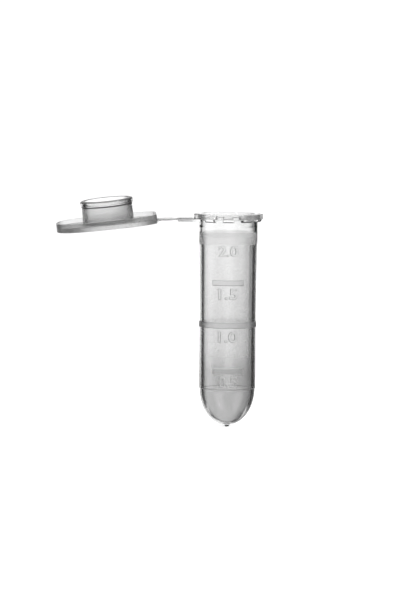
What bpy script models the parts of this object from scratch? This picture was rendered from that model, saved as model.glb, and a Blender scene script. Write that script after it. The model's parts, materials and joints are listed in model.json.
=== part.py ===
"""A 2.0 mL round-bottomed microcentrifuge tube with its hinged snap lid open, in metres.

The frame: +Z runs up the tube's axis, the lid hangs out towards -X, and the origin is on the
axis at the level of the lugs' undersides, where the tube rests on a rack.
The lid is drawn shut, square on the mouth, and then swung open about the strap's two folds,
so both folds at their upper limit bring it back exactly on the mouth.
"""

from math import cos, pi, radians, sin

import bmesh
import bpy
from mathutils import Matrix, Vector

MM = 0.001
GAP = 0.02 * MM  # between moulded features that are one skin on the real tube
WELD = 0.0005 * MM
SIDES = 48  # facets round a turned piece
SHARP_ANGLE = radians(35)

# Vessel
VESSEL_RADIUS = 5.33 * MM
BORE_RADIUS_TOP = 4.50 * MM
BORE_RADIUS_BASE = 4.42 * MM
COLLAR_BOTTOM_Z = -4.10 * MM
DOME_TOP_Z = -31.45 * MM
DOME_RADIUS = 5.20 * MM
DOME_OUTER_HEIGHT = 6.95 * MM
DOME_INNER_HEIGHT = 6.00 * MM
DOME_STEPS = 9
GATE_RADIUS = 0.50 * MM
GATE_TIP_RADIUS = 0.30 * MM
GATE_LENGTH = 0.30 * MM

# Neck
NECK_RADIUS = 5.46 * MM
NECK_BORE_RADIUS = 4.92 * MM
MOUTH_CHAMFER = 0.15 * MM
SEAL_GROOVE_DEPTH = 0.11 * MM
SEAL_GROOVE_TOP_Z = -0.70 * MM
SEAL_GROOVE_BOTTOM_Z = -2.40 * MM
NECK_CONE_TOP_Z = -3.40 * MM

# Rim
RIM_RADIUS = 6.50 * MM
RIM_TOP_Z = 1.50 * MM
RIM_BOTTOM_Z = 0.50 * MM
LUG_PLACES = 10  # round the rim, two of which the hinge block takes
HINGE_LUG_PLACES = (2, 3)
LUG_WIDTH = 2.15 * MM
LUG_FOOT_RADIUS = 6.10 * MM

# Graduations, raised on the vessel: a ring at 1.0 mL, and bars and numbers on its front
MARK_HEIGHT = 0.12 * MM
MARK_BAND = 1.05 * MM
MARK_ROOT = 0.30 * MM  # how far a mark is sunk into the wall that it grows from
RING_MARK_Z = -19.30 * MM
BAR_MARKS = ((-11.30 * MM, 6.05 * MM), (-27.90 * MM, 5.65 * MM))  # height and width
NUMERAL_SIZE = (3.70 * MM, 2.10 * MM)
NUMERAL_TOPS = {
    "2.0": COLLAR_BOTTOM_Z - 0.10 * MM,
    "1.5": -12.35 * MM,
    "1.0": -20.40 * MM,
    "0.5": -28.85 * MM,
}

# Hinge: two film folds with a short strap between them
FOLD_X = -10.115 * MM
FOLD_CLEARANCE = 0.15 * MM
STRAP_THICKNESS = 0.24 * MM
STRAP_WIDTH = 4.00 * MM
STRAP_Z = 0.44 * MM
STUB_END_X = -9.45 * MM
STUB_ROOT_X = -5.52 * MM
STUB_ROOT_WIDTH = 5.50 * MM
ROOT_FOLD_TRAVEL = radians(92.2)
LID_FOLD_TRAVEL = radians(94.0)
LID_ROLL = radians(2.5)
LID_YAW = radians(2.0)

# Lid, in its shut place
LID_THICKNESS = 1.65 * MM
LID_PLATE = 0.80 * MM
LID_HALF_WIDTH = 6.50 * MM
LID_THUMB_LENGTH = 9.85 * MM
LID_HINGE_LENGTH = 9.35 * MM
LID_HINGE_END = 9.10 * MM
LID_OUTLINE_POWER = 2.6
LID_OUTLINE_POINTS = 56
LID_RIM_WIDTH = 0.45 * MM
LID_RIM_Z = RIM_TOP_Z + GAP
LID_TAB_DEPTH = 1.25 * MM  # from the rim's plane to the middle of the tab
LID_TAB_WIDTH = 4.00 * MM
PLUG_RADIUS = 4.80 * MM
PLUG_BORE_RADIUS = 4.00 * MM
PLUG_REACH = 3.60 * MM  # below the rim's plane
BEAD_RADIUS = 4.98 * MM
BEAD_HEIGHT = 1.10 * MM
BEAD_ROUNDING = 0.16 * MM
BEAD_BORE_RADIUS = 4.08 * MM

STRAP_LENGTH = LID_RIM_Z + LID_TAB_DEPTH - STRAP_Z
FOLD_AXIS = Vector((-sin(LID_YAW / 2), 1.0, sin(LID_ROLL / 2))).normalized()
ROOT_FOLD = Vector((FOLD_X, 0.0, STRAP_Z))
LID_FOLD_SHUT = ROOT_FOLD + Vector((0.0, 0.0, STRAP_LENGTH))


def turned_about(point, angle):
    """The turn by an angle about the fold axis through a point."""
    shift = Matrix.Translation(point)
    return shift @ Matrix.Rotation(angle, 4, FOLD_AXIS) @ shift.inverted()


STRAP_OPEN = turned_about(ROOT_FOLD, -ROOT_FOLD_TRAVEL)
LID_OPEN = STRAP_OPEN @ turned_about(LID_FOLD_SHUT, -LID_FOLD_TRAVEL)


def fold_empty(name, place):
    """An empty on a fold's axis, which the pieces that turn about it hang from."""
    empty = bpy.data.objects.new(name, None)
    empty.empty_display_size = STRAP_WIDTH / 2
    empty.matrix_world = place
    PARTS.objects.link(empty)
    return empty


def hang(piece, empty, place):
    """Parents a piece drawn in its shut place to a fold's empty, and swings it open."""
    piece.parent = empty
    piece.matrix_parent_inverse = empty.matrix_world.inverted()
    piece.matrix_basis = place


def clear_scene():
    for thing in list(bpy.data.objects):
        bpy.data.objects.remove(thing, do_unlink=True)


def collection(name):
    group = bpy.data.collections.new(name)
    bpy.context.scene.collection.children.link(group)
    return group


def material(name, grey, roughness, alpha):
    """A translucent polypropylene finish."""
    made = bpy.data.materials.new(name)
    made.use_nodes = True
    shader = made.node_tree.nodes["Principled BSDF"]
    shader.inputs["Base Color"].default_value = (grey, grey, grey, 1.0)
    shader.inputs["Roughness"].default_value = roughness
    shader.inputs["Metallic"].default_value = 0.0
    shader.inputs["IOR"].default_value = 1.49
    shader.inputs["Alpha"].default_value = alpha
    return made


def object_from(name, mesh, finish=None):
    """A mesh as an object: a part of the tube with a finish, or a cutter without one."""
    made = bpy.data.objects.new(name, mesh)
    if finish:
        mesh.materials.append(finish)
        PARTS.objects.link(made)
    else:
        CUTTERS.objects.link(made)
        made.hide_render = True
        made.display_type = "WIRE"
    return made


def turned(name, profile, finish=None, closed=True):
    """A ring or a bowl turned about Z from (radius, z) points, down its outer side."""
    mesh = bpy.data.meshes.new(name)
    edges = [(i, i + 1) for i in range(len(profile) - 1)]
    if closed:
        edges.append((len(profile) - 1, 0))
    mesh.from_pydata([(radius, 0.0, z) for radius, z in profile], edges, [])
    made = object_from(name, mesh, finish)
    screw = made.modifiers.new("Turn", "SCREW")
    screw.steps = screw.render_steps = SIDES
    screw.use_merge_vertices = True
    screw.merge_threshold = WELD
    screw.use_smooth_shade = True
    return made


def extruded(name, outline, low, high, finish=None):
    """A flat outline in XY made solid between two heights."""
    curve = bpy.data.curves.new(name, "CURVE")
    curve.dimensions = "2D"
    curve.fill_mode = "BOTH"
    curve.extrude = (high - low) / 2
    spline = curve.splines.new("POLY")
    spline.points.add(len(outline) - 1)
    for point, (x, y) in zip(spline.points, outline):
        point.co = (x, y, 0.0, 1.0)
    spline.use_cyclic_u = True
    return solid_from_curve(name, curve, Matrix.Translation((0.0, 0.0, (low + high) / 2)), finish)


def solid_from_curve(name, curve, place, finish=None):
    """The closed mesh of a filled curve, its caps welded on, with the place applied."""
    outline = bpy.data.objects.new(name + "_outline", curve)
    CUTTERS.objects.link(outline)
    seen = outline.evaluated_get(bpy.context.evaluated_depsgraph_get())
    mesh = bpy.data.meshes.new_from_object(seen)
    bpy.data.objects.remove(outline, do_unlink=True)
    shape = bmesh.new()
    shape.from_mesh(mesh)
    bmesh.ops.remove_doubles(shape, verts=shape.verts, dist=WELD)
    bmesh.ops.recalc_face_normals(shape, faces=shape.faces)
    shape.transform(place)
    shape.to_mesh(mesh)
    shape.free()
    mesh.materials.clear()
    return object_from(name, mesh, finish)


def box(name, low, high, finish=None):
    mesh = bpy.data.meshes.new(name)
    shape = bmesh.new()
    bmesh.ops.create_cube(shape, size=1.0)
    size = [b - a for a, b in zip(low, high)]
    middle = [(a + b) / 2 for a, b in zip(low, high)]
    bmesh.ops.scale(shape, vec=size, verts=shape.verts)
    bmesh.ops.translate(shape, vec=middle, verts=shape.verts)
    shape.to_mesh(mesh)
    shape.free()
    return object_from(name, mesh, finish)


def combine(base, operation, other):
    cut = base.modifiers.new(other.name, "BOOLEAN")
    cut.operation = operation
    cut.solver = "EXACT"
    cut.object = other


def ellipse_arc(radius, height, z):
    """(radius, z) points down a quarter of an ellipse, from its equator at z to its pole."""
    return [
        (radius * cos(i * pi / 2 / DOME_STEPS), z - height * sin(i * pi / 2 / DOME_STEPS))
        for i in range(DOME_STEPS)
    ] + [(0.0, z - height)]


def add_vessel_wall(finish):
    """The straight wall, with the 1.0 mL ring mark turned on it and the other marks raised."""
    top = COLLAR_BOTTOM_Z - GAP
    bottom = DOME_TOP_Z
    band = MARK_BAND / 2
    raised = VESSEL_RADIUS + MARK_HEIGHT
    wall = turned(
        "vessel_wall",
        [
            (VESSEL_RADIUS, top),
            (VESSEL_RADIUS, RING_MARK_Z + band),
            (raised, RING_MARK_Z + band - MARK_HEIGHT),
            (raised, RING_MARK_Z - band + MARK_HEIGHT),
            (VESSEL_RADIUS, RING_MARK_Z - band),
            (VESSEL_RADIUS, bottom),
            (BORE_RADIUS_BASE, bottom),
            (BORE_RADIUS_TOP, top),
        ],
        finish,
    )
    sunk, high, low = VESSEL_RADIUS - MARK_ROOT, top - GAP, bottom + GAP
    marks = turned("mark_shell", [(raised, high), (raised, low), (sunk, low), (sunk, high)])
    combine(marks, "INTERSECT", mark_stamp())
    combine(wall, "UNION", marks)


def mark_stamp():
    """Prisms that stand out towards -Y behind each bar and each numeral."""
    stamp = bpy.data.meshes.new("mark_stamp")
    shape = bmesh.new()
    depth = VESSEL_RADIUS
    for z, width in BAR_MARKS:
        bar = bmesh.ops.create_cube(shape, size=1.0)["verts"]
        bmesh.ops.scale(shape, vec=(width, depth, MARK_BAND), verts=bar)
        bmesh.ops.translate(shape, vec=(0.0, -VESSEL_RADIUS, z), verts=bar)
    for words, top in NUMERAL_TOPS.items():
        numeral = numeral_mesh(words, top, depth)
        shape.from_mesh(numeral)
        bpy.data.meshes.remove(numeral)
    shape.to_mesh(stamp)
    shape.free()
    return object_from("mark_stamp", stamp)


def numeral_mesh(words, top, depth):
    """A number as a prism along Y, its front on the -Y side and its top at a height."""
    curve = bpy.data.curves.new("numeral", "FONT")
    curve.body = words
    curve.resolution_u = 2
    curve.extrude = depth / 2
    curve.align_x = "CENTER"
    text = solid_from_curve("numeral", curve, Matrix.Identity(4))
    mesh = text.data
    bpy.data.objects.remove(text, do_unlink=True)
    xs = [vertex.co.x for vertex in mesh.vertices]
    ys = [vertex.co.y for vertex in mesh.vertices]
    width, height = NUMERAL_SIZE
    grow = Matrix.Diagonal((width / (max(xs) - min(xs)), height / (max(ys) - min(ys)), 1.0, 1.0))
    centre = Matrix.Translation((-(max(xs) + min(xs)) / 2, -max(ys), 0.0))
    stand = Matrix.Translation((0.0, -VESSEL_RADIUS, top)) @ Matrix.Rotation(pi / 2, 4, "X")
    mesh.transform(stand @ grow @ centre)
    return mesh


def add_vessel_bottom(finish):
    """The round bottom, a half ellipsoid outside and inside."""
    top = DOME_TOP_Z - GAP
    inner = ellipse_arc(BORE_RADIUS_BASE, DOME_INNER_HEIGHT, top)
    outer = ellipse_arc(DOME_RADIUS, DOME_OUTER_HEIGHT, top)
    turned("vessel_bottom", inner[::-1] + outer, finish, closed=False)


def add_gate_stub(finish):
    """The nub that the mould's gate leaves at the tip."""
    tip = DOME_TOP_Z - 2 * GAP - DOME_OUTER_HEIGHT
    profile = [(0.0, tip), (GATE_RADIUS, tip), (GATE_TIP_RADIUS, tip - GATE_LENGTH)]
    turned("gate_stub", profile + [(0.0, tip - GATE_LENGTH)], finish, closed=False)


def add_neck_collar(finish):
    """The thinner-walled neck that the plug seals in, with its groove for the plug's bead."""
    groove = NECK_BORE_RADIUS + SEAL_GROOVE_DEPTH
    turned(
        "neck_collar",
        [
            (NECK_RADIUS, RIM_TOP_Z),
            (NECK_RADIUS, COLLAR_BOTTOM_Z),
            (BORE_RADIUS_TOP, COLLAR_BOTTOM_Z),
            (NECK_BORE_RADIUS, NECK_CONE_TOP_Z),
            (NECK_BORE_RADIUS, SEAL_GROOVE_BOTTOM_Z),
            (groove, SEAL_GROOVE_BOTTOM_Z + 2 * SEAL_GROOVE_DEPTH),
            (groove, SEAL_GROOVE_TOP_Z - 2 * SEAL_GROOVE_DEPTH),
            (NECK_BORE_RADIUS, SEAL_GROOVE_TOP_Z),
            (NECK_BORE_RADIUS, RIM_TOP_Z - MOUTH_CHAMFER),
            (NECK_BORE_RADIUS + MOUTH_CHAMFER, RIM_TOP_Z),
        ],
        finish,
    )


def add_rim_flange(finish):
    """The flat rim round the mouth."""
    inner = NECK_RADIUS + GAP
    turned(
        "rim_flange",
        [
            (RIM_RADIUS, RIM_TOP_Z),
            (RIM_RADIUS, RIM_BOTTOM_Z),
            (inner, RIM_BOTTOM_Z),
            (inner, RIM_TOP_Z),
        ],
        finish,
    )


def add_rim_lugs(finish):
    """The lugs under the rim that stand on a rack, the first at the front."""
    top = RIM_BOTTOM_Z - GAP
    inner = NECK_RADIUS + GAP
    ring = turned(
        "lug_ring",
        [(RIM_RADIUS, top), (LUG_FOOT_RADIUS, 0.0), (inner, 0.0), (inner, top)],
    )
    places = [place for place in range(LUG_PLACES) if place not in HINGE_LUG_PLACES]
    for number, place in enumerate(places, start=1):
        wide = LUG_WIDTH / 2
        low, high = (-wide, -RIM_RADIUS - MM, -MM), (wide, -NECK_RADIUS + MM, MM)
        lug = box(f"rim_lug_{number}", low, high, finish)
        lug.data.transform(Matrix.Rotation(-place * 2 * pi / LUG_PLACES, 4, "Z"))
        combine(lug, "INTERSECT", ring)


def add_hinge_stub(finish):
    """The block under the rim that carries the strap, thinning to a film at the root fold."""
    root, end, tip = STUB_ROOT_X, STUB_END_X, FOLD_X + FOLD_CLEARANCE
    wide, narrow = STUB_ROOT_WIDTH / 2, STRAP_WIDTH / 2
    stub = extruded(
        "hinge_stub",
        [(root, -wide), (root, wide), (end, narrow), (end, -narrow)],
        0.0,
        RIM_BOTTOM_Z - GAP,
        finish,
    )
    half = STRAP_THICKNESS / 2
    film = box(
        "stub_film",
        (tip, -narrow, STRAP_Z - half),
        (end + half, narrow, STRAP_Z + half - 2 * GAP),
    )
    combine(stub, "UNION", film)


def add_hinge_strap(finish):
    """The strap between the folds, upright when the lid is shut."""
    half, wide = STRAP_THICKNESS / 2, STRAP_WIDTH / 2
    low = (FOLD_X - half, -wide, STRAP_Z + FOLD_CLEARANCE)
    high = (FOLD_X + half, wide, STRAP_Z + STRAP_LENGTH - FOLD_CLEARANCE)
    hang(box("hinge_strap", low, high, finish), STRAP_FOLD, STRAP_OPEN)


def lid_outline(inset=0.0):
    """The lid seen from above when shut: a blunt oval cut square at its hinge end."""
    power = 2 / LID_OUTLINE_POWER
    points = []
    for i in range(LID_OUTLINE_POINTS):
        angle = 2 * pi * (i + 0.5) / LID_OUTLINE_POINTS
        along, across = cos(angle), sin(angle)
        reach = (LID_THUMB_LENGTH if along > 0 else LID_HINGE_LENGTH) - inset
        x = reach * abs(along) ** power * (1 if along > 0 else -1)
        y = (LID_HALF_WIDTH - inset) * abs(across) ** power * (1 if across > 0 else -1)
        points.append((max(x, -LID_HINGE_END + inset), y))
    return [p for i, p in enumerate(points) if not collinear_end(points, i)]


def collinear_end(points, i):
    """Whether a point lies between two others on the square end."""
    end = min(x for x, _ in points)
    return all(points[j % len(points)][0] == end for j in (i - 1, i, i + 1))


def add_lid_plate(finish):
    """The lid's flat top."""
    top = LID_RIM_Z + LID_THICKNESS
    hang(extruded("lid_plate", lid_outline(), top - LID_PLATE, top, finish), LID_FOLD, LID_OPEN)


def add_lid_tab(finish):
    """The short film that joins the lid's square end to its fold."""
    middle = LID_RIM_Z + LID_TAB_DEPTH
    half, wide = STRAP_THICKNESS / 2, LID_TAB_WIDTH / 2
    low = (FOLD_X + FOLD_CLEARANCE, -wide, middle - half)
    high = (-LID_HINGE_END - GAP, wide, middle + half)
    hang(box("lid_tab", low, high, finish), LID_FOLD, LID_OPEN)


def add_lid_rim(finish):
    """The wall round the lid's underside, which meets the tube's rim when shut."""
    high = LID_RIM_Z + LID_THICKNESS - LID_PLATE - GAP
    rim = extruded("lid_rim", lid_outline(), LID_RIM_Z, high, finish)
    hollow = extruded("rim_hollow", lid_outline(LID_RIM_WIDTH), LID_RIM_Z - GAP * 4, high + GAP * 4)
    combine(rim, "DIFFERENCE", hollow)
    hang(hollow, LID_FOLD, LID_OPEN)
    hang(rim, LID_FOLD, LID_OPEN)


def add_plug(finish):
    """The hollow plug under the lid, open at its lower end."""
    high = LID_RIM_Z + LID_THICKNESS - LID_PLATE - GAP
    low = LID_RIM_Z - PLUG_REACH + BEAD_HEIGHT + GAP
    plug = turned(
        "plug_sleeve",
        [
            (PLUG_RADIUS, high),
            (PLUG_RADIUS, low),
            (PLUG_BORE_RADIUS, low),
            (PLUG_BORE_RADIUS, high),
        ],
        finish,
    )
    hang(plug, LID_FOLD, LID_OPEN)


def add_seal_bead(finish):
    """The bead at the plug's end that snaps into the neck's groove."""
    low = LID_RIM_Z - PLUG_REACH
    high = low + BEAD_HEIGHT
    bead = turned(
        "seal_bead",
        [
            (PLUG_RADIUS, high),
            (BEAD_RADIUS, high - BEAD_ROUNDING),
            (BEAD_RADIUS, low + BEAD_ROUNDING),
            (BEAD_RADIUS - BEAD_ROUNDING, low),
            (BEAD_BORE_RADIUS, low),
            (PLUG_BORE_RADIUS, high),
        ],
        finish,
    )
    hang(bead, LID_FOLD, LID_OPEN)


def settle(piece):
    """Applies a finished piece's modifiers and shades its round faces smooth."""
    seen = piece.evaluated_get(bpy.context.evaluated_depsgraph_get())
    mesh = bpy.data.meshes.new_from_object(seen)
    mesh.name = piece.name
    piece.modifiers.clear()
    piece.data = mesh
    mesh.shade_smooth()
    mesh.set_sharp_from_angle(angle=SHARP_ANGLE)


clear_scene()
PARTS = collection("microcentrifuge_tube")
CUTTERS = collection("cutters")
STRAP_FOLD = fold_empty("strap_fold", STRAP_OPEN @ Matrix.Translation(ROOT_FOLD))
LID_FOLD = fold_empty("lid_fold", LID_OPEN @ Matrix.Translation(LID_FOLD_SHUT))
CLEAR = material("clear_polypropylene", 0.90, 0.12, 0.45)
FROSTED = material("frosted_polypropylene", 0.82, 0.45, 0.75)
add_vessel_wall(FROSTED)
add_vessel_bottom(CLEAR)
add_gate_stub(CLEAR)
add_neck_collar(CLEAR)
add_rim_flange(CLEAR)
add_rim_lugs(CLEAR)
add_hinge_stub(CLEAR)
add_hinge_strap(CLEAR)
add_lid_plate(FROSTED)
add_lid_tab(CLEAR)
add_lid_rim(CLEAR)
add_plug(CLEAR)
add_seal_bead(CLEAR)
for part in [thing for thing in PARTS.objects if thing.type == "MESH"]:
    settle(part)
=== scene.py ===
"""The looks of the microcentrifuge tube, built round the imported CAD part.

The tube, the open lid and the strap are each one smooth skin, as the real moulding is one piece
of clear and frosted polypropylene. Lengths are in millimetres and made metres as a mesh is made.
"""

import json
from math import cos, pi, radians, sin, sqrt

import bmesh
import bpy
import numpy as np
from mathutils import Matrix, Vector
from mathutils.bvhtree import BVHTree


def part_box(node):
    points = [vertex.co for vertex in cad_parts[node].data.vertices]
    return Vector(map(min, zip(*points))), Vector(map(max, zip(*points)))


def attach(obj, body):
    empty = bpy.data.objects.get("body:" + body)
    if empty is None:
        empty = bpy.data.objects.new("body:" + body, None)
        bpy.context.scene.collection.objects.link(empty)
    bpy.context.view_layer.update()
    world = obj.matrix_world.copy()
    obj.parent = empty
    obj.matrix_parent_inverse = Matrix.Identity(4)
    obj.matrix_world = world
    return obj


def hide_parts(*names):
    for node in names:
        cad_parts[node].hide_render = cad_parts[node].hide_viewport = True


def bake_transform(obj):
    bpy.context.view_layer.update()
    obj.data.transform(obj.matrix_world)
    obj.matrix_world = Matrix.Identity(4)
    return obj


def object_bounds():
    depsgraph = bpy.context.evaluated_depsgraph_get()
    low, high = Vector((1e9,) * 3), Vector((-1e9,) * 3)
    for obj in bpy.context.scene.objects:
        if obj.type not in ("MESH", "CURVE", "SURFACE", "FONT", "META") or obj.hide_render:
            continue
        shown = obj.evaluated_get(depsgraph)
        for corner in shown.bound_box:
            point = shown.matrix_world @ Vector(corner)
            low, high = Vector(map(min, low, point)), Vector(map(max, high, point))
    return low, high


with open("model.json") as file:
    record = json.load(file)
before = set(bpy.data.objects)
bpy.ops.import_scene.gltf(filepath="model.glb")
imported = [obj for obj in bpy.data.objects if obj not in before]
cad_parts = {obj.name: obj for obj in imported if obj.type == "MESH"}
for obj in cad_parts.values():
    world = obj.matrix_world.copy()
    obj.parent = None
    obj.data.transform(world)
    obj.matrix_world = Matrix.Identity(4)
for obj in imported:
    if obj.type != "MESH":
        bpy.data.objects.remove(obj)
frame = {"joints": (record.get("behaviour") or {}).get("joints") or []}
CAD_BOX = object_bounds()

MM = 0.001
SIDES = 192  # round every turned skin
POLE = 0.00002  # a ring smaller than this is one point

# The vessel, its heights up from the lugs' undersides
RIM_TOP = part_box("rim_flange")[1].z / MM
RIM_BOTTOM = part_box("rim_flange")[0].z / MM
RIM_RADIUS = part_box("rim_flange")[1].x / MM
NECK_RADIUS = 5.50
NECK_BORE = 4.92
NECK_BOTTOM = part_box("neck_collar")[0].z / MM
BODY_RADII = (  # (height, radius): the wall draws in a little towards the middle
    (-4.30, 5.435),
    (-7.00, 5.395),
    (-10.50, 5.360),
    (-14.50, 5.315),
    (-17.50, 5.290),
    (-21.00, 5.295),
    (-25.00, 5.315),
    (-28.50, 5.330),
    (-31.10, 5.330),
)
BORE_TOP = 4.62
BORE_BASE = 4.50
DOME_TOP = -31.45
DOME_RADIUS = 5.20
DOME_OUTER_HEIGHT = 6.95
DOME_INNER_HEIGHT = 6.35
DOME_STEPS = 26
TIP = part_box("gate_stub")[0].z / MM
GROOVE_DEPTH = 0.11
GROOVE = (-0.70, -2.40)  # its upper and lower edges
EDGE = 0.10  # rounding of a moulded edge
LUG_PLACES = 10
HINGE_PLACES = (2, 3)  # the hinge stub stands here in place of lugs
LUG_WIDTH = 2.15
LUG_FOOT = 6.10  # the foot's distance from the axis
LUG_BACK = 5.25  # inside the neck's wall
LUG_EDGE = 0.20

# Graduations
MARK_HEIGHT = 0.11
MARK_BAND = 1.05
NUMERAL_RISE = 0.08
RING_MARK = -19.30
RING_WALL = 5.29
BARS = ((-11.30, 6.05), (-27.90, 5.65))
NUMERAL_HEIGHT = 2.10
NUMERAL_WIDTH = 3.70
GLYPH_WELD = 0.001
CUT = 0.30  # the marks are cut into strips this wide before they are bent
ROOT = 0.45  # how deep a bar reaches into the wall
NUMERAL_TOPS = (("2.0", -4.30), ("1.5", -12.35), ("1.0", -20.40), ("0.5", -28.85))

# The lid, as it lies when shut
LID_RIM = 1.52
LID_TOP = 3.17
LID_FLOOR = 2.37
LID_HALF_WIDTH = 6.50
LID_THUMB = 9.85  # the oval's reach at its free end
LID_HINGE = 9.78  # and at its hinge end, where it is cut square
LID_END = 9.10
LID_CORNER = 0.05
LID_POWER = 2.6
LID_WALL = 0.45
WALL_DRAFT = 0.03
PLATE_EDGE = 0.10
LIP_OUTSIDE = 0.12
LIP_INSIDE = 0.10
FLOOR_FILLET = 0.22
PLUG_FILLET = 0.32
PLUG_RADIUS = 4.80
PLUG_BORE = 4.00
PLUG_END = -2.08
BEAD_TOP = -0.98
BEAD_RADIUS = 4.98

# The strap
STRAP_WIDTH = 4.00
STRAP_Z = 0.44
STUB_END = -9.45
STUB_ROOT_WIDTH = 5.50
STUB_TOP = RIM_BOTTOM + 0.06
TAB_Z = LID_RIM + 1.25

# The studio: the brightness of each part of the world, and the camera
STUDIO_TURN = radians(8.0)
SOFT_BOX = 1.25
CORNER_BOX = 1.15
GAP = 0.01
LOW_GAP = 0.08
CEILING = 0.34
UNDERLIGHT = 0.5
BACKDROP = 1.05
CAMERA_AIM = (-5.13, 0.0, -14.95)
CAMERA_DISTANCE = 870
CAMERA_LIFT = radians(4.13)
CAMERA_ROLL = radians(0.45)
CAMERA_LENS = 276.7


def joint(name):
    return next(j for j in frame["joints"] if j["name"] == name)


def folded_back(name):
    """The turn that undoes a fold's travel from the open lid to the shut one."""
    fold = joint(name)
    point = Vector(fold["pos_m"])
    angle = -radians(fold["range_deg"][1])
    turn = Matrix.Rotation(angle, 4, Vector(fold["axis"]))
    return Matrix.Translation(point) @ turn @ Matrix.Translation(-point)


LID_OPEN = folded_back("lid_fold") @ folded_back("strap_fold")
STRAP_OPEN = folded_back("strap_fold")
ROOT_FOLD = Vector(joint("strap_fold")["pos_m"])


# ---------------------------------------------------------------- meshes


def lofted(name, rings, place=Matrix.Identity(4)):
    """A closed skin through rings of points in millimetres; a ring of one point is a pole."""
    shape = bmesh.new()
    rows = [[shape.verts.new(place @ (Vector(p) * MM)) for p in ring] for ring in rings]
    for a, b in zip(rows, rows[1:]):
        count = max(len(a), len(b))
        for i in range(count):
            j = (i + 1) % count
            corners = [a[i % len(a)], a[j % len(a)], b[j % len(b)], b[i % len(b)]]
            face = list(dict.fromkeys(corners))
            shape.faces.new(face)
    bmesh.ops.recalc_face_normals(shape, faces=shape.faces)
    return finished(name, shape)


def finished(name, shape):
    mesh = bpy.data.meshes.new(name)
    shape.to_mesh(mesh)
    shape.free()
    made = bpy.data.objects.new(name, mesh)
    bpy.context.scene.collection.objects.link(made)
    return made


def circle(radius, z):
    if radius < POLE:
        return [(0.0, 0.0, z)]
    turn = 2 * pi / SIDES
    return [(radius * cos(i * turn), radius * sin(i * turn), z) for i in range(SIDES)]


def turns(steps, start=0):
    """The angles of a quarter turn in equal steps, from a start in degrees."""
    return [radians(start + 90 * i / steps) for i in range(steps + 1)]


def quarter(centre, size, start):
    """(radius, height) points round a quarter turn from a start angle in degrees."""
    return [(centre[0] + size * cos(a), centre[1] + size * sin(a)) for a in turns(4, start)]


def ellipse(radius, height, z, steps):
    """(radius, height) points from an equator down to just short of the pole."""
    turn = pi / 2 / steps
    return [(radius * cos(i * turn), z - height * sin(i * turn)) for i in range(steps)]


def boolean(base, other, operation):
    cut = base.modifiers.new(operation, "BOOLEAN")
    cut.operation = operation
    cut.solver = "EXACT"
    cut.object = other


def applied(made):
    seen = made.evaluated_get(bpy.context.evaluated_depsgraph_get())
    mesh = bpy.data.meshes.new_from_object(seen)
    made.modifiers.clear()
    made.data = mesh
    return made


def removed(*things):
    for thing in things:
        bpy.data.objects.remove(thing, do_unlink=True)


def supported(profile, away=0.08):
    """The profile with a point close to each end of its long lines, which keeps shading true."""
    points = [profile[0]]
    for a, b in zip(profile, profile[1:]):
        length = sqrt((b[0] - a[0]) ** 2 + (b[1] - a[1]) ** 2)
        if length > 5 * away:
            for part in (away / length, 1 - away / length):
                points.append((a[0] + part * (b[0] - a[0]), a[1] + part * (b[1] - a[1])))
        points.append(b)
    return points


def outer_profile():
    """Down the vessel's outside, from the rim's top edge to the tip."""
    half = MARK_BAND / 2
    out = quarter((RIM_RADIUS - EDGE, RIM_TOP - EDGE), EDGE, 0)[::-1]
    out += quarter((RIM_RADIUS - EDGE, RIM_BOTTOM + EDGE), EDGE, 270)[::-1]
    out += quarter((NECK_RADIUS + 0.15, RIM_BOTTOM - 0.15), 0.15, 90)
    out += [(NECK_RADIUS, -1.00), (NECK_RADIUS, -2.00), (NECK_RADIUS, -3.00)]
    out += [(NECK_RADIUS, NECK_BOTTOM + 0.10), (NECK_RADIUS - 0.02, NECK_BOTTOM)]
    for z, radius in BODY_RADII[:5]:
        out.append((radius, z))
    slope = ((0.02, 0.0), (-0.04, 0.7), (-0.12, 1.0))  # (beyond the band, part of its height)
    out += [(RING_WALL + MARK_HEIGHT * part, RING_MARK + half + past) for past, part in slope]
    out += [(RING_WALL + MARK_HEIGHT * part, RING_MARK - half - past) for past, part in slope[::-1]]
    for z, radius in BODY_RADII[5:]:
        out.append((radius, z))
    step = ((5.325, 0.18), (5.31, 0.13), (5.215, 0.02), (5.205, 0.0))
    out += [(radius, DOME_TOP + above) for radius, above in step]
    dome = ellipse(DOME_RADIUS, DOME_OUTER_HEIGHT, DOME_TOP - 0.02, DOME_STEPS)
    out += [p for p in dome[1:] if p[0] > 0.9]
    out += [(0.62, TIP + 0.36), (0.47, TIP + 0.28), (0.38, TIP + 0.10), (0.28, TIP + 0.01)]
    out += [(0.14, TIP), (0.0, TIP + 0.01)]
    return supported(out)


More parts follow.
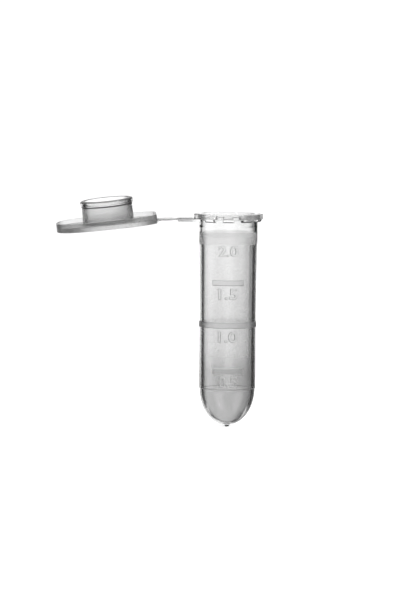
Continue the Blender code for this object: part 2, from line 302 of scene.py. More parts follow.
def inner_profile():
    """Up the vessel's inside, from the pole of the bore to the rim's top edge."""
    groove = NECK_BORE + GROOVE_DEPTH
    dome = ellipse(BORE_BASE, DOME_INNER_HEIGHT, DOME_TOP, DOME_STEPS)
    inside = [(0.0, DOME_TOP - DOME_INNER_HEIGHT)] + dome[::-1]
    steps = 12
    for i in range(1, steps):
        part = i / steps
        z = DOME_TOP + part * (NECK_BOTTOM - 0.20 - DOME_TOP)
        inside.append((BORE_BASE + part * (BORE_TOP - BORE_BASE), z))
    inside += [
        (BORE_TOP, NECK_BOTTOM - 0.20),
        (BORE_TOP + 0.02, NECK_BOTTOM),
        (NECK_BORE - 0.02, GROOVE[1] - 0.32),
        (NECK_BORE, GROOVE[1] - 0.12),
        (NECK_BORE, GROOVE[1]),
        (groove - 0.02, GROOVE[1] + 0.20),
        (groove, GROOVE[1] + 0.40),
        (groove, GROOVE[0] - 0.40),
        (groove - 0.02, GROOVE[0] - 0.20),
        (NECK_BORE, GROOVE[0]),
        (NECK_BORE, RIM_TOP - 0.30),
        (NECK_BORE + 0.02, RIM_TOP - 0.16),
        (NECK_BORE + 0.07, RIM_TOP - 0.05),
        (NECK_BORE + 0.17, RIM_TOP),
        (NECK_BORE + 0.60, RIM_TOP),
    ]
    return supported(inside)


def rounded_prism(corners, low, high, bevel, segments=2):
    """A prism over an outline in XY, with every edge rounded."""
    shape = bmesh.new()
    bottom = [shape.verts.new((x * MM, y * MM, low * MM)) for x, y in corners]
    top = [shape.verts.new((x * MM, y * MM, high * MM)) for x, y in corners]
    shape.faces.new(bottom[::-1])
    shape.faces.new(top)
    for i in range(len(corners)):
        j = (i + 1) % len(corners)
        shape.faces.new((bottom[i], bottom[j], top[j], top[i]))
    bmesh.ops.bevel(
        shape, geom=list(shape.edges), offset=bevel * MM, segments=segments,
        profile=0.5, affect="EDGES", clamp_overlap=True,
    )
    bmesh.ops.recalc_face_normals(shape, faces=shape.faces)
    return shape


def lug(place):
    """A wedge under the rim, its foot drawn in a little and well rounded."""
    wide = LUG_WIDTH / 2
    top = RIM_BOTTOM + 0.20
    shape = bmesh.new()
    corners = [
        (-wide, -RIM_RADIUS + 0.06, top), (wide, -RIM_RADIUS + 0.06, top),
        (wide, -LUG_BACK, top), (-wide, -LUG_BACK, top),
        (-wide, -LUG_FOOT, 0.0), (wide, -LUG_FOOT, 0.0),
        (wide, -LUG_BACK, 0.0), (-wide, -LUG_BACK, 0.0),
    ]
    verts = [shape.verts.new(Vector(c) * MM) for c in corners]
    shape.faces.new(verts[:4])
    shape.faces.new(verts[:3:-1])
    for i in range(4):
        j = (i + 1) % 4
        shape.faces.new((verts[i], verts[i + 4], verts[j + 4], verts[j]))
    bmesh.ops.recalc_face_normals(shape, faces=shape.faces)
    middle = -NECK_RADIUS * MM
    foot = [e for e in shape.edges if all(v.co.z < 0.1 * MM for v in e.verts)]
    foot = [e for e in foot if any(v.co.y < middle for v in e.verts)]
    uprights = [e for e in shape.edges if abs(e.verts[0].co.z - e.verts[1].co.z) > 0.1 * MM]
    uprights = [e for e in uprights if all(v.co.y < middle for v in e.verts)]
    bmesh.ops.bevel(
        shape, geom=foot + uprights, offset=LUG_EDGE * MM, segments=3, profile=0.5,
        affect="EDGES", clamp_overlap=True,
    )
    shape.transform(Matrix.Rotation(-place * 2 * pi / LUG_PLACES, 4, "Z"))
    return finished(f"lug_{place}", shape)


def wall_radius(z):
    return float(np.interp(-z, [-height for height, _ in BODY_RADII], [r for _, r in BODY_RADII]))


def wrapped(shape, z, rise):
    """Bends flat relief, whose face is at z = 0, round the vessel's front at a height."""
    for i in range(-12, 13):
        geom = shape.verts[:] + shape.edges[:] + shape.faces[:]
        bmesh.ops.bisect_plane(shape, geom=geom, plane_co=(i * CUT * MM, 0, 0), plane_no=(1, 0, 0))
    for vert in shape.verts:
        along, up, out = vert.co / MM
        wall = wall_radius(z + up)
        radius, angle = wall + rise + out, along / wall
        vert.co = Vector((radius * sin(angle), -radius * cos(angle), z + up)) * MM


def bar(width, z):
    half, tall = width / 2, MARK_BAND / 2
    corners = [(-half, -tall), (half, -tall), (half, tall), (-half, tall)]
    shape = rounded_prism(corners, -ROOT, 0.0, MARK_HEIGHT + 0.01, 1)
    wrapped(shape, z, MARK_HEIGHT)
    return finished("bar", shape)


def numeral(words, top):
    """A number in chamfered relief, the top of its digits at a height."""
    curve = bpy.data.curves.new("numeral", "FONT")
    curve.body = words
    curve.resolution_u = 5
    curve.align_x = "CENTER"
    size = NUMERAL_HEIGHT / 0.70  # a digit's height is 0.70 of its font's
    curve.bevel_depth = (NUMERAL_RISE + 0.01) / size
    curve.bevel_resolution = 0
    curve.extrude = 0.10 / size
    text = bpy.data.objects.new("numeral", curve)
    bpy.context.scene.collection.objects.link(text)
    solid = text.evaluated_get(bpy.context.evaluated_depsgraph_get())
    mesh = bpy.data.meshes.new_from_object(solid)
    removed(text)
    xs, ys, zs = zip(*(v.co for v in mesh.vertices))
    wide = NUMERAL_WIDTH / (max(xs) - min(xs))
    tall = NUMERAL_HEIGHT / (max(ys) - min(ys))
    mesh.transform(Matrix.Translation((-(max(xs) + min(xs)) / 2, -max(ys), -max(zs))))
    mesh.transform(Matrix.Diagonal((wide * MM, tall * MM, tall * MM, 1.0)))
    shape = bmesh.new()
    shape.from_mesh(mesh)
    bmesh.ops.remove_doubles(shape, verts=shape.verts, dist=GLYPH_WELD * MM)
    bmesh.ops.recalc_face_normals(shape, faces=shape.faces)
    wrapped(shape, top, NUMERAL_RISE)
    return finished("numeral", shape)


def round_normals(made, smooth):
    """Smooth shading whose normals on the turned faces are those of the uncut skin."""
    mesh = made.data
    near_by = 0.03 * MM
    mesh.shade_smooth()
    mesh.set_sharp_from_angle(angle=radians(25))
    tree = BVHTree.FromPolygons(
        [v.co for v in smooth.vertices], [p.vertices[:] for p in smooth.polygons]
    )
    corner_normals = [Vector(n.vector) for n in smooth.corner_normals]
    normals = [Vector(n.vector) for n in mesh.corner_normals]
    for face in mesh.polygons:
        _, normal, index, distance = tree.find_nearest(face.center)
        if distance > near_by or normal.dot(face.normal) < 0.999:
            continue
        for loop in face.loop_indices:
            point = mesh.vertices[mesh.loops[loop].vertex_index].co
            _, _, near, gap = tree.find_nearest(point)
            if near is None or gap > near_by:
                continue
            poly = smooth.polygons[near]
            if poly.normal.dot(face.normal) < 0.97:
                poly = smooth.polygons[index]
            weights = []
            for k in poly.loop_indices:
                away = (smooth.vertices[smooth.loops[k].vertex_index].co - point).length
                weights.append(1 / (away + 1e-7))
            total = Vector()
            for k, w in zip(poly.loop_indices, weights):
                total += corner_normals[k] * w
            normals[loop] = total.normalized()
    mesh.normals_split_custom_set([n[:] for n in normals])


def vessel():
    """The tube in one skin: rim, lugs, hinge stub, neck, wall with its marks, and round bottom."""
    outer = outer_profile()
    inner = inner_profile()
    profile = outer + inner
    half = len(outer)
    rows = [circle(r, z) for r, z in profile]
    shape = bmesh.new()
    made_rows = [[shape.verts.new(Vector(p) * MM) for p in ring] for ring in rows]
    pairs = list(zip(range(len(rows)), range(1, len(rows))))
    pairs = [(a, b) for a, b in pairs if a != half - 1] + [(len(rows) - 1, 0)]
    for a, b in pairs:
        first, second = made_rows[a], made_rows[b]
        for i in range(SIDES):
            j = (i + 1) % SIDES
            corners = [first[i % len(first)], first[j % len(first)]]
            corners += [second[j % len(second)], second[i % len(second)]]
            shape.faces.new(list(dict.fromkeys(corners)))
    bmesh.ops.recalc_face_normals(shape, faces=shape.faces)
    made = finished("tube_skin", shape)
    made.data.shade_smooth()
    made.data.set_sharp_from_angle(angle=radians(25))
    smooth = made.data.copy()
    pieces = [lug(place) for place in range(LUG_PLACES) if place not in HINGE_PLACES]
    root, end = STUB_ROOT_WIDTH / 2, STRAP_WIDTH / 2
    corners = [(STUB_END, -end), (STUB_END, end), (-LUG_BACK, root), (-LUG_BACK, -root)]
    stub = rounded_prism(corners, 0.0, STUB_TOP, 0.06)
    pieces.append(finished("stub", stub))
    pieces += [bar(width, z) for z, width in BARS]
    pieces += [numeral(words, top) for words, top in NUMERAL_TOPS]
    for piece in pieces:
        boolean(made, piece, "UNION")
    applied(made)
    removed(*pieces)
    round_normals(made, smooth)
    return made


def finish_vessel(made):
    """The plastic of the tube, with painted shade on the edges of its marks, on the step above its
    round bottom and on the feet of its lugs.
    """
    made.data.materials.clear()
    made.data.materials.append(vessel_plastic())
    # painted shade: slot 1 darkens the sides of the raised marks and the step above the round
    # bottom; slot 2 paints the lug feet's undersides near black
    made.data.materials.append(painted_shade_plastic("mark_edge_painted_shade", 0.40, 0.80))
    made.data.materials.append(painted_shade_plastic("lug_foot_painted_shade", 0.02, 0.10))
    for face in made.data.polygons:
        x, y, z = face.center / MM
        radius = sqrt(x * x + y * y)
        tilt = (x * face.normal.x + y * face.normal.y) / max(radius, POLE)
        # the faces that take painted shade: sides of the raised marks, the dome's step, the lug
        # feet's undersides
        raised = 5.25 < radius < 5.60 and DOME_TOP + 0.4 < z < NECK_BOTTOM - 0.15
        step = 5.20 < radius < 5.32 and DOME_TOP + 0.01 < z < DOME_TOP + 0.14
        foot = 5.65 < radius < 6.20 and z < 0.22 and face.normal.z < -0.15
        face.material_index = 2 if foot else 1 if (raised or step) and tilt < 0.97 else 0


def lid_outline(z, inset=0.0):
    """The lid seen from above when shut: a blunt oval cut square at its hinge end."""
    power = 2 / LID_POWER
    ring = []
    for i in range(SIDES):
        angle = 2 * pi * i / SIDES
        along, across = cos(angle), sin(angle)
        reach = (LID_THUMB if along > 0 else LID_HINGE) - inset
        x = reach * abs(along) ** power * (1 if along > 0 else -1)
        y = (LID_HALF_WIDTH - inset) * abs(across) ** power * (1 if across > 0 else -1)
        cut = -LID_END + inset
        gap = x - cut
        if gap < 1.5:
            x = cut + 0.5 * (gap + sqrt(gap * gap + LID_CORNER * LID_CORNER))
        ring.append((x, y, z))
    return ring


def lid():
    """The lid in one skin: its plate, the wall round it, and the hollow plug with its bead."""
    rings = [[(0.0, 0.0, LID_TOP)], circle(2.0, LID_TOP), circle(4.4, LID_TOP)]
    rings += [lid_outline(LID_TOP, 1.2), lid_outline(LID_TOP, 0.5)]
    for a in turns(5):
        rings.append(lid_outline(LID_TOP - PLATE_EDGE * (1 - cos(a)), PLATE_EDGE * (1 - sin(a))))
    rings += [lid_outline(LID_TOP - 0.8), lid_outline(LID_RIM + 0.14)]
    for a in turns(4):
        rings.append(lid_outline(LID_RIM + LIP_OUTSIDE * (1 - sin(a)), LIP_OUTSIDE * (1 - cos(a))))
    for a in turns(4):
        inset = LID_WALL - LIP_INSIDE * (1 - sin(a))
        rings.append(lid_outline(LID_RIM + LIP_INSIDE * (1 - cos(a)), inset))
    foot = LID_WALL + WALL_DRAFT
    rings.append(lid_outline(LID_RIM + 0.35, LID_WALL + 0.01))
    rings.append(lid_outline(LID_FLOOR - FLOOR_FILLET, foot))
    for a in turns(5)[1:]:
        z = LID_FLOOR - FLOOR_FILLET * (1 - sin(a))
        rings.append(lid_outline(z, foot + FLOOR_FILLET * (1 - cos(a))))
    rings += [circle(PLUG_RADIUS + 0.55, LID_FLOOR), circle(PLUG_RADIUS + 0.30, LID_FLOOR)]
    plug = [
        (PLUG_RADIUS + 0.17, LID_FLOOR - 0.03),
        (PLUG_RADIUS + 0.07, LID_FLOOR - 0.12),
        (PLUG_RADIUS + 0.02, LID_FLOOR - 0.30),
        (PLUG_RADIUS + 0.01, LID_FLOOR - 0.90),
        (PLUG_RADIUS - 0.02, 0.20),
        (PLUG_RADIUS - 0.04, BEAD_TOP + 0.12),
        (PLUG_RADIUS - 0.02, BEAD_TOP + 0.02),
        (PLUG_RADIUS + 0.06, BEAD_TOP - 0.06),
        (BEAD_RADIUS - 0.05, BEAD_TOP - 0.18),
        (BEAD_RADIUS, BEAD_TOP - 0.36),
        (BEAD_RADIUS, PLUG_END + 0.40),
        (BEAD_RADIUS - 0.03, PLUG_END + 0.22),
        (BEAD_RADIUS - 0.12, PLUG_END + 0.08),
        (BEAD_RADIUS - 0.26, PLUG_END + 0.01),
        (BEAD_RADIUS - 0.42, PLUG_END),
        (PLUG_BORE + 0.22, PLUG_END),
        (PLUG_BORE + 0.13, PLUG_END + 0.03),
        (PLUG_BORE + 0.09, PLUG_END + 0.10),
        (PLUG_BORE + 0.08, PLUG_END + 0.30),
        (PLUG_BORE + 0.02, BEAD_TOP),
        (PLUG_BORE, 0.60),
        (PLUG_BORE, LID_FLOOR - PLUG_FILLET),
    ]
    plug += [
        (PLUG_BORE - PLUG_FILLET * (1 - cos(a)), LID_FLOOR - PLUG_FILLET * (1 - sin(a)))
        for a in turns(5)[1:]
    ]
    rings += [circle(r, z) for r, z in plug]
    rings += [circle(2.4, LID_FLOOR), circle(0.9, LID_FLOOR), [(0.0, 0.0, LID_FLOOR)]]
    made = lofted("lid_skin", rings, LID_OPEN)
    made.data.shade_smooth()
    made.data.set_sharp_from_angle(angle=radians(35))
    return made


def finish_lid(made):
    """The plastic of the lid, with painted shade on the step beside the plug's bead and on the
    plug's end.
    """
    made.data.materials.append(lid_plastic())
    # painted shade: near black on the step beside the plug's bead, mid grey on the plug's end
    made.data.materials.append(painted_shade_plastic("bead_edge_painted_shade", 0.04, 0.50))
    made.data.materials.append(painted_shade_plastic("plug_end_painted_shade", 0.30, 0.75))
    back = LID_OPEN.inverted()
    for face in made.data.polygons:
        x, y, z = (back @ face.center) / MM
        radius = sqrt(x * x + y * y)
        step = BEAD_TOP - 0.16 < z < BEAD_TOP + 0.10 and radius > PLUG_RADIUS - 0.06
        end = z < PLUG_END + 0.16
        face.material_index = 1 if step else 2 if end else 0


def ribbon(name, stations):
    """A film with rounded edges through (middle, across, normal, thickness, width) stations."""
    shape = bmesh.new()
    rows = []
    for middle, across, up, thick, wide in stations:
        half, edge = wide / 2 * MM, thick / 2 * MM
        row = []
        for side in (1, -1):
            for i in range(9):
                angle = radians(180 * i / 8 - 90 * side)
                out = (half - edge) * side + edge * cos(angle)
                row.append(shape.verts.new(middle + across * out + up * edge * sin(angle)))
            for i in range(3, -4, -1):
                out = (half - edge) * i / 4 * side
                row.append(shape.verts.new(middle + across * out + up * edge * side))
        rows.append(row)
    for a, b in zip(rows, rows[1:]):
        for i in range(len(a)):
            j = (i + 1) % len(a)
            shape.faces.new((a[i], a[j], b[j], b[i]))
    shape.faces.new(rows[0][::-1])
    shape.faces.new(rows[-1])
    bmesh.ops.recalc_face_normals(shape, faces=shape.faces)
    made = finished(name, shape)
    made.data.shade_smooth()
    made.data.set_sharp_from_angle(angle=radians(60))
    return made


def film(name, points, thicknesses):
    """A ribbon through (middle, place) points, its width along the turned Y axis of each place."""
    stations = []
    pairs = list(zip(points, points[1:]))
    spots = [(k, m / 4) for k in range(len(pairs)) for m in range(4)] + [(len(pairs) - 1, 1.0)]
    for k, part in spots:
        (start, start_place), (end, end_place) = pairs[k]
        ahead = (end - start).normalized()
        across = start_place.to_3x3().col[1].lerp(end_place.to_3x3().col[1], part)
        across = (across - ahead * across.dot(ahead)).normalized()
        thick = thicknesses[k] + part * (thicknesses[k + 1] - thicknesses[k])
        stations.append((start.lerp(end, part), across, ahead.cross(across), thick, STRAP_WIDTH))
    return ribbon(name, stations)


def strap():
    """The film strap, split at its middle so that each half bends across one fold."""
    tube = Matrix.Identity(4)
    length = TAB_Z - STRAP_Z
    fold_x = ROOT_FOLD.x / MM

    def points(place, spots):
        return [(place @ Vector((x * MM, 0.0, z * MM)), place) for x, z in spots]

    root = points(tube, [(x, STRAP_Z - 0.02) for x in (-9.30, -9.50, -9.70, -9.90)])
    along = (0.20, 0.40, 0.70, length / 2)
    root += points(STRAP_OPEN, [(fold_x, STRAP_Z + s) for s in along])
    along = (length / 2, length - 0.70, length - 0.40, length - 0.20)
    lid_half = points(STRAP_OPEN, [(fold_x, STRAP_Z + s) for s in along])
    lid_half += points(LID_OPEN, [(x, TAB_Z) for x in (fold_x + 0.22, -9.75, -9.45, -9.25, -9.02)])
    return [
        film("strap_root_film", root, (0.34, 0.33, 0.28, 0.20, 0.20, 0.24, 0.27, 0.30)),
        film("strap_lid_film", lid_half, (0.30, 0.33, 0.30, 0.22, 0.22, 0.30, 0.38, 0.44, 0.48)),
    ]


# ---------------------------------------------------------------- materials


class Nodes:
    """A small helper that adds nodes to one tree."""

    def __init__(self, tree):
        self.tree = tree

    def put(self, socket, value):
        if isinstance(value, bpy.types.NodeSocket):
            self.tree.links.new(value, socket)
        else:
            socket.default_value = value

    def math(self, operation, *values):
        node = self.tree.nodes.new("ShaderNodeMath")
        node.operation = operation
        for socket, value in zip(node.inputs, values):
            self.put(socket, value)
        return node.outputs[0]

    def ramp(self, value, low, high, to_low=0.0, to_high=1.0):
        """A smooth step of a value between two others."""
        node = self.tree.nodes.new("ShaderNodeMapRange")
        node.interpolation_type = "SMOOTHSTEP"
        for socket, given in zip(node.inputs, (value, low, high, to_low, to_high)):
            self.put(socket, given)
        return node.outputs[0]

    def noise(self, vector, scale, detail=2.0, rough=0.5):
        node = self.tree.nodes.new("ShaderNodeTexNoise")
        self.put(node.inputs["Vector"], vector)
        node.inputs["Scale"].default_value = scale
        node.inputs["Detail"].default_value = detail
        node.inputs["Roughness"].default_value = rough
        return node.outputs[0]

    def dot(self, vector, fixed):
        node = self.tree.nodes.new("ShaderNodeVectorMath")
        node.operation = "DOT_PRODUCT"
        self.put(node.inputs[0], vector)
        node.inputs[1].default_value = fixed
        return node.outputs["Value"]

    def reach(self, x, y):
        """The distance from the axis."""
        flat = self.math("ADD", self.math("MULTIPLY", x, x), self.math("MULTIPLY", y, y))
        return self.math("SQRT", flat)

    def mix(self, factor, a, b):
        """A number that goes from a to b as the factor goes from 0 to 1."""
        return self.math("MULTIPLY_ADD", factor, self.math("SUBTRACT", b, a), a)


def new_material(name):
    made = bpy.data.materials.new(name)
    made.use_nodes = True
    shader = made.node_tree.nodes["Principled BSDF"]
    return made, Nodes(made.node_tree), shader


def finish_plastic(tools, shader, grey, rough, height, transmission, bump_strength):
    """Wires a translucent polypropylene from sockets for its greyness, roughness and relief."""
    colour = tools.tree.nodes.new("ShaderNodeCombineColor")
    for socket in colour.inputs[:3]:
        tools.put(socket, grey)
    tools.put(shader.inputs["Base Color"], colour.outputs[0])
    tools.put(shader.inputs["Roughness"], rough)
    shader.inputs["IOR"].default_value = 1.49
    tools.put(shader.inputs["Transmission Weight"], transmission)
    bump = tools.tree.nodes.new("ShaderNodeBump")
    bump.inputs["Strength"].default_value = bump_strength
    bump.inputs["Distance"].default_value = 0.02 * MM
    tools.put(bump.inputs["Height"], height)
    tools.put(shader.inputs["Normal"], bump.outputs[0])


def coordinates(tools, place=None):
    """In millimetres, the object's own or moved back from a place: the vector, x, y and z."""
    source = tools.tree.nodes.new("ShaderNodeTexCoord").outputs["Object"]
    scaled = tools.tree.nodes.new("ShaderNodeVectorMath")
    scaled.operation = "SCALE"
    tools.put(scaled.inputs[0], source)
    scaled.inputs["Scale"].default_value = 1 / MM
    vector = scaled.outputs[0]
    if place is not None:
        back = place.inverted()
        join = tools.tree.nodes.new("ShaderNodeCombineXYZ")
        for socket, row in zip(join.inputs, back):
            tools.put(socket, tools.math("ADD", tools.dot(vector, row[:3]), row[3] / MM))
        vector = join.outputs[0]
    split = tools.tree.nodes.new("ShaderNodeSeparateXYZ")
    tools.put(split.inputs[0], vector)
    return vector, split.outputs[0], split.outputs[1], split.outputs[2]


def vessel_plastic():
    """Clear at the neck, duller on the collar, on the front panel and on the raised marks; painted
    shade darkens the collar, the raised marks and the lower body.
    """
    made, t, shader = new_material("vessel_polypropylene")
    vector, x, y, z = coordinates(t)
    radius = t.reach(x, y)
    outside = t.ramp(radius, 4.98, 5.12)
    flange = t.math("MULTIPLY", t.ramp(radius, 5.56, 5.64), t.ramp(z, 0.44, 0.54))
    angle = t.math("ABSOLUTE", t.math("ARCTAN2", x, t.math("MULTIPLY", y, -1.0)))
    front = t.ramp(angle, radians(49.5), radians(46.5))
    top = t.ramp(z, -4.05, -4.25)
    foot = t.ramp(z, -25.55, -25.25)
    panel = t.math("MULTIPLY", t.math("MULTIPLY", front, outside), t.math("MULTIPLY", top, foot))
    collar = t.math("MULTIPLY", t.ramp(z, -1.75, -2.05), t.ramp(z, -4.30, -4.05))
    body = t.ramp(z, -4.05, -4.30)
    ring = t.math("LESS_THAN", t.math("ABSOLUTE", t.math("SUBTRACT", z, RING_MARK)), MARK_BAND / 2)
    for height, width in BARS:
        tall = t.math("LESS_THAN", t.math("ABSOLUTE", t.math("SUBTRACT", z, height)), MARK_BAND / 2)
        wide = t.math("MULTIPLY", t.math("LESS_THAN", t.math("ABSOLUTE", x), width / 2), front)
        ring = t.math("MAXIMUM", ring, t.math("MULTIPLY", tall, wide))
    ring = t.math("MULTIPLY", ring, outside)
    grain = t.noise(vector, 9.0, 3.0, 0.6)
    broad = t.noise(vector, 0.35, 2.0, 0.5)
    rough = t.mix(body, 0.02, t.mix(outside, 0.05, 0.07))
    rough = t.mix(collar, rough, 0.22)
    rough = t.mix(panel, rough, t.mix(grain, 0.22, 0.32))
    rough = t.mix(ring, rough, 0.42)
    rough = t.mix(flange, rough, 0.13)
    stub = t.ramp(x, -6.60, -6.80)
    rough = t.mix(stub, rough, 0.40)
    rough = t.math("ADD", rough, t.math("MULTIPLY", t.math("SUBTRACT", broad, 0.5), 0.02))
    # painted shade: the body's grey falls from 0.885 near the top to 0.81 low on the wall and 0.67
    # on the round bottom, darker towards the bottom
    grey = t.mix(t.ramp(z, -23.0, -29.0), t.mix(t.ramp(z, -6.0, -24.0), 0.885, 0.81), 0.67)
    # painted shade: the collar is given a darker grey of 0.86; the flange is 0.84 and the neck 0.95
    grey = t.mix(body, t.mix(collar, t.mix(flange, 0.95, 0.84), 0.86), grey)
    # painted shade: the raised ring and bars are made 10% darker
    grey = t.math("MULTIPLY", grey, t.mix(ring, 1.0, 0.90))
    grey = t.mix(stub, grey, 0.98)
    height = t.math("MULTIPLY", grain, t.math("MULTIPLY", panel, 0.12))
    height = t.math("ADD", t.math("MULTIPLY", broad, 0.6), height)
    clear = t.mix(body, 0.99, 0.96)
    clear = t.mix(collar, clear, 0.88)
    clear = t.mix(panel, clear, 0.90)
    clear = t.mix(flange, clear, 0.90)
    clear = t.mix(stub, clear, 0.70)
    finish_plastic(t, shader, grey, rough, height, clear, 0.35)
    return made


def painted_shade_plastic(name, tone, clear):
    """Painted shade for small rounded edges: a dark grey standing in for the light that the
    moulding turns away there; pale on the lowest marks.
    """
    made, t, shader = new_material(name)
    vector, _, _, z = coordinates(t)
    grain = t.noise(vector, 8.0, 2.0, 0.5)
    # the painted shade's grey, varied a little at random
    grey = t.mix(grain, tone * 0.8, tone * 1.2)
    above_step = t.ramp(z, DOME_TOP + 0.20, DOME_TOP + 0.30)
    pale = t.math("MULTIPLY", t.ramp(z, -25.4, -26.2), above_step)
    grey = t.mix(pale, grey, 0.90)
    finish_plastic(t, shader, grey, t.mix(grain, 0.25, 0.35), grain, clear, 0.1)
    return made


def lid_plastic():
    """Clear at the plug's end and on the lid's floor, cloudier on the walls and the plate; painted
    shade darkens the front of the wall.
    """
    made, t, shader = new_material("lid_polypropylene")
    vector, x, y, z = coordinates(t, LID_OPEN)
    grain = t.noise(vector, 7.0, 3.0, 0.6)
    broad = t.noise(vector, 0.45, 2.0, 0.5)
    normal = t.tree.nodes.new("ShaderNodeTexCoord").outputs["Normal"]
    up = t.dot(normal, LID_OPEN.to_3x3().col[2])
    radius = t.reach(x, y)
    below = t.ramp(z, LID_FLOOR + 0.10, LID_FLOOR - 0.05)
    plug = t.math("MULTIPLY", t.ramp(radius, 5.25, 5.15), below)
    level = t.ramp(z, LID_FLOOR - 0.15, LID_FLOOR - 0.10)
    floor = t.math("MULTIPLY", t.ramp(up, -0.6, -0.8), level)
    wall = t.math("MULTIPLY", plug, t.ramp(z, BEAD_TOP + 0.05, BEAD_TOP + 0.20))
    clean = t.math("MAXIMUM", plug, floor)
    edge = t.ramp(z, LID_FLOOR - 0.05, LID_FLOOR + 0.10)
    rough = t.mix(clean, t.mix(grain, 0.24, 0.32), t.mix(wall, 0.05, 0.22))
    # painted shade: below the floor's level the wall is 0.44 grey at its front and 0.92 at its rear
    rear = t.ramp(y, -1.0, 4.0)
    grey = t.mix(edge, t.mix(rear, 0.44, 0.92), t.mix(broad, 0.66, 0.70))
    grey = t.mix(clean, grey, t.mix(wall, 0.95, 0.86))
    height = t.math("ADD", t.math("MULTIPLY", broad, 0.7), t.math("MULTIPLY", grain, 0.05))
    height = t.math("MULTIPLY", height, t.ramp(t.math("ABSOLUTE", up), 0.95, 0.80))
    clear = t.mix(clean, t.mix(edge, 0.90, 0.86), t.mix(wall, 0.98, 0.90))
    finish_plastic(t, shader, grey, rough, height, clear, 0.35)
    return made


def strap_plastic():
    """The film's slightly cloudy plastic."""
    made, t, shader = new_material("strap_polypropylene")
    vector = coordinates(t)[0]
    grain = t.noise(vector, 6.0, 3.0, 0.6)
    broad = t.noise(vector, 0.8, 2.0, 0.5)
    rough = t.mix(grain, 0.16, 0.26)
    grey = t.mix(broad, 0.82, 0.88)
    finish_plastic(t, shader, grey, rough, broad, 0.90, 0.3)
    return made


# ---------------------------------------------------------------- the studio


def floor():
    """A wide pale table top with a glow of its own, which the plastic doesn't mirror."""
    shape = bmesh.new()
    bmesh.ops.create_circle(shape, cap_ends=True, segments=96, radius=3.0)
    made = finished("floor", shape)
    made.location.z = CAD_BOX[0].z - 0.05 * MM
    material, t, shader = new_material("floor_white")
    cloud = t.noise(coordinates(t)[0], 0.004, 2.0)
    grey = t.mix(cloud, 0.90, 0.93)
    colour = t.tree.nodes.new("ShaderNodeCombineColor")
    for socket in colour.inputs[:3]:
        t.put(socket, grey)
    t.put(shader.inputs["Base Color"], colour.outputs[0])
    t.put(shader.inputs["Roughness"], 0.9)
    t.put(shader.inputs["Emission Color"], (1.0, 1.0, 1.0, 1.0))
    t.put(shader.inputs["Emission Strength"], 0.75)
    made.data.materials.append(material)
    made.visible_transmission = False
    made.visible_glossy = False


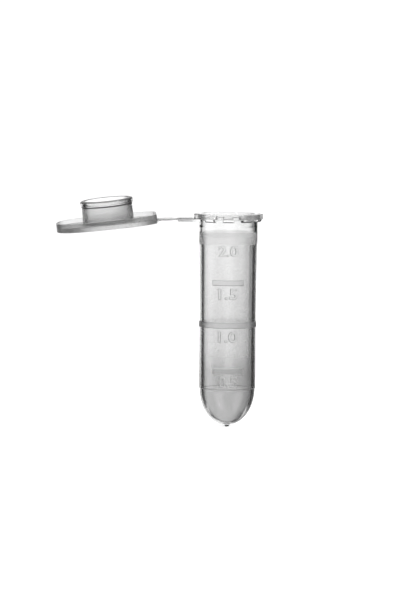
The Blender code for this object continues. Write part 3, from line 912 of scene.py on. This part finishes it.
def studio_world():
    """Four tall soft boxes with dark gaps between them, low boxes across the gaps, and a dim
    ceiling. The camera itself sees plain white."""
    world = bpy.data.worlds.new("studio")
    world.use_nodes = True
    t = Nodes(world.node_tree)
    shader = world.node_tree.nodes["Background"]
    direction = t.tree.nodes.new("ShaderNodeTexCoord").outputs["Generated"]
    split = t.tree.nodes.new("ShaderNodeSeparateXYZ")
    t.put(split.inputs[0], direction)
    x, y, z = split.outputs
    flat = t.math("ADD", t.math("MULTIPLY", x, x), t.math("MULTIPLY", y, y))
    turned = t.dot(direction, (cos(STUDIO_TURN), sin(STUDIO_TURN), 0.0))
    c = t.math("DIVIDE", t.math("MULTIPLY", turned, turned), t.math("MAXIMUM", flat, 1e-6))
    four = t.math("MULTIPLY_ADD", t.math("MULTIPLY", c, t.math("SUBTRACT", c, 1.0)), 8.0, 1.0)
    narrowing = t.mix(t.ramp(z, 0.08, 0.20), 2.2, 5.0)
    straight = t.math("POWER", t.ramp(four, -0.80, 0.95), narrowing)
    diagonal = t.math("POWER", t.ramp(four, 0.80, -0.95), 1.3)
    ahead = t.ramp(y, -0.2, 0.2)
    reach = t.mix(ahead, t.ramp(z, -0.20, -0.13), t.ramp(z, -0.80, -0.60))
    low = t.math("MULTIPLY_ADD", ahead, 0.22, z)
    side = t.math("MULTIPLY", t.math("MULTIPLY", straight, reach), SOFT_BOX)
    window = t.mix(ahead, 1.0, t.ramp(z, -0.55, -0.47))
    window = t.math("MULTIPLY", window, t.ramp(low, -0.14, -0.20))
    corner = t.math("MULTIPLY", t.math("MULTIPLY", diagonal, window), CORNER_BOX)
    gap = t.mix(t.ramp(z, -0.10, -0.30), GAP, LOW_GAP)
    side = t.math("ADD", t.math("MAXIMUM", side, corner), gap)
    level = t.mix(t.ramp(z, 0.20, 0.42), side, CEILING)
    light = t.mix(t.ramp(z, -0.70, -0.90), level, UNDERLIGHT)
    seen = t.tree.nodes.new("ShaderNodeLightPath").outputs["Is Camera Ray"]
    shader.inputs["Color"].default_value = (1.0, 1.0, 1.0, 1.0)
    t.put(shader.inputs["Strength"], t.mix(seen, light, BACKDROP))
    bpy.context.scene.world = world


def soft_light(name, place, size, power):
    """A small lamp aimed at the tube, for the highlights inside its round bottom."""
    data = bpy.data.lights.new(name, "AREA")
    data.shape = "RECTANGLE"
    data.size, data.size_y = size
    data.energy = power
    lamp = bpy.data.objects.new(name, data)
    bpy.context.scene.collection.objects.link(lamp)
    lamp.location = place
    aim = Vector((0.0, 0.0, -0.01))
    lamp.rotation_euler = (aim - lamp.location).to_track_quat("-Z", "Y").to_euler()


def camera():
    """A long lens level with the object, a little above the rim."""
    aim = Vector(CAMERA_AIM) * MM
    distance = CAMERA_DISTANCE * MM
    data = bpy.data.cameras.new("camera")
    data.lens = CAMERA_LENS
    data.sensor_width = 36.0
    data.clip_start = 0.05
    data.clip_end = 50.0
    made = bpy.data.objects.new("camera", data)
    bpy.context.scene.collection.objects.link(made)
    made.location = aim + Vector((0.0, -cos(CAMERA_LIFT), sin(CAMERA_LIFT))) * distance
    turn = (aim - made.location).to_track_quat("-Z", "Y").to_matrix()
    made.rotation_euler = (turn @ Matrix.Rotation(CAMERA_ROLL, 3, "Z")).to_euler()
    bpy.context.scene.camera = made


camera()
studio_world()
floor()
soft_light("key", (0.50, -0.42, 0.44), (0.08, 0.14), 2.6)
soft_light("fill", (-0.45, -0.50, 0.44), (0.06, 0.12), 1.0)
bpy.context.scene.view_settings.view_transform = "Standard"

tube_skin = vessel()
finish_vessel(tube_skin)
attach(tube_skin, "tube")
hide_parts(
    "vessel_wall", "vessel_bottom", "gate_stub", "neck_collar", "rim_flange",
    "hinge_stub", *[f"rim_lug_{i}" for i in range(1, 9)],
)

lid_skin = lid()
finish_lid(lid_skin)
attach(lid_skin, "lid")
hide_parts("lid_plate", "lid_rim", "plug_sleeve", "seal_bead", "lid_tab")

root_film, lid_film = strap()
cloudy = strap_plastic()
for piece in (root_film, lid_film):
    piece.data.materials.append(cloudy)
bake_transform(root_film)
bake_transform(lid_film)
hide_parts("hinge_strap")
